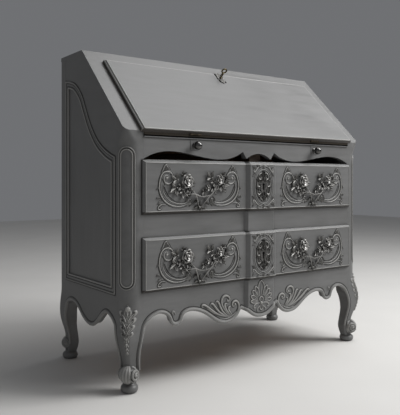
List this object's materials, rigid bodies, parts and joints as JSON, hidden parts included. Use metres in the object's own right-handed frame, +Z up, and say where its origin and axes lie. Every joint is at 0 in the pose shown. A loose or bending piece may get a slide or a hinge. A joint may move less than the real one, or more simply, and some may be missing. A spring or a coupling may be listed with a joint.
{
  "type": "slant-front desk",
  "caption": "Painted slant-front writing desk on cabriole legs with scroll feet, hinged fall flap, pull-out supports, carved drawers and a fitted gallery.",
  "frame": {"origin": "on the floor under the middle of the desk's outer box", "axes": "+X to the desk's right as seen from the front, +Y to its back, +Z up"},
  "size_m": [1.0126, 0.508, 1],
  "materials": {
    "grey_paint": "satin chalk paint, dry-brushed on the carving",
    "bare_wood": "waxed oak",
    "brass": "aged brass",
    "steel": "dull steel",
    "dark_pewter": "dark cast metal with rubbed highlights",
    "knob_metal": "polished dark metal"
  },
  "bodies": {
    "carcass": {"back_panel": "bare_wood", "bed_hinge_leaves": "brass", "divider_rail": "grey_paint", "drawer_runners": "bare_wood", "dust_board": "bare_wood", "flap_strike": "brass", "frieze_rail": "grey_paint", "front_apron": "grey_paint", "gallery_dividers": "bare_wood", "gallery_shelf": "bare_wood", "hinge_pins": "steel", "left_front_post": "grey_paint", "left_rear_post": "grey_paint", "left_side_apron": "grey_paint", "left_side_panel": "grey_paint", "left_side_upper_rail": "grey_paint", "lock_keeper": "bare_wood", "loper_guides": "bare_wood", "rear_rail": "bare_wood", "right_front_post": "grey_paint", "right_rear_post": "grey_paint", "right_side_apron": "grey_paint", "right_side_panel": "grey_paint", "right_side_upper_rail": "grey_paint", "slant_stiles": "grey_paint", "slant_top_rail": "grey_paint", "top_board": "grey_paint", "writing_bed": "bare_wood"},
    "flap": {"flap_board": "grey_paint", "flap_hinge_leaves": "brass", "flap_lock_case": "steel", "flap_escutcheon": "brass"},
    "key": {"key": "brass"},
    "flap_bolt": {"flap_bolt": "steel"},
    "left_loper": {"left_loper": "grey_paint", "left_loper_knob": "knob_metal"},
    "left_small_drawer": {"left_small_drawer_front": "bare_wood", "left_small_drawer_box": "bare_wood", "left_small_drawer_knob": "brass"},
    "right_loper": {"right_loper": "grey_paint", "right_loper_knob": "knob_metal"},
    "right_small_drawer": {"right_small_drawer_front": "bare_wood", "right_small_drawer_box": "bare_wood", "right_small_drawer_knob": "brass"},
    "upper_drawer": {"upper_drawer_front": "grey_paint", "upper_drawer_sides": "bare_wood", "upper_drawer_back": "bare_wood", "upper_drawer_bottom": "bare_wood", "upper_drawer_pulls": "dark_pewter", "upper_drawer_escutcheon": "dark_pewter", "upper_drawer_lock_case": "steel"},
    "upper_drawer_bolt": {"upper_drawer_bolt": "steel"},
    "lower_drawer": {"lower_drawer_front": "grey_paint", "lower_drawer_sides": "bare_wood", "lower_drawer_back": "bare_wood", "lower_drawer_bottom": "bare_wood", "lower_drawer_pulls": "dark_pewter", "lower_drawer_escutcheon": "dark_pewter", "lower_drawer_lock_case": "steel"},
    "lower_drawer_bolt": {"lower_drawer_bolt": "steel"}
  },
  "joints": [
    {"name": "flap_hinge", "type": "hinge", "parent": "carcass", "child": "flap", "pos_m": [0, -0.22537, 0.73], "axis": [1, 0, 0], "range_deg": [0, 135.64]},
    {"name": "key_turn", "type": "hinge", "parent": "flap", "child": "key", "pos_m": [0, -0.00945, 0.94115], "axis": [0, -0.6992, 0.7149], "range_deg": [0, 90]},
    {"name": "flap_bolt_slide", "type": "slide", "parent": "flap", "child": "flap_bolt", "axis": [0, 0.7149, 0.6992], "range_m": [0, 0.008]},
    {"name": "left_loper_slide", "type": "slide", "parent": "carcass", "child": "left_loper", "axis": [0, -1, 0], "range_m": [0, 0.25]},
    {"name": "right_loper_slide", "type": "slide", "parent": "carcass", "child": "right_loper", "axis": [0, -1, 0], "range_m": [0, 0.25]},
    {"name": "upper_drawer_slide", "type": "slide", "parent": "carcass", "child": "upper_drawer", "axis": [0, -1, 0], "range_m": [0, 0.3]},
    {"name": "upper_drawer_bolt_slide", "type": "slide", "parent": "upper_drawer", "child": "upper_drawer_bolt", "axis": [0, 0, 1], "range_m": [0, 0.008]},
    {"name": "lower_drawer_slide", "type": "slide", "parent": "carcass", "child": "lower_drawer", "axis": [0, -1, 0], "range_m": [0, 0.3]},
    {"name": "lower_drawer_bolt_slide", "type": "slide", "parent": "lower_drawer", "child": "lower_drawer_bolt", "axis": [0, 0, 1], "range_m": [0, 0.008]},
    {"name": "left_small_drawer_slide", "type": "slide", "parent": "carcass", "child": "left_small_drawer", "axis": [0, -1, 0], "range_m": [0, 0.075]},
    {"name": "right_small_drawer_slide", "type": "slide", "parent": "carcass", "child": "right_small_drawer", "axis": [0, -1, 0], "range_m": [0, 0.075]}
  ],
  "couplings": [
    {"joint": "flap_bolt_slide", "follows": "key_turn", "m_per_rad": 0.005093}
  ]
}
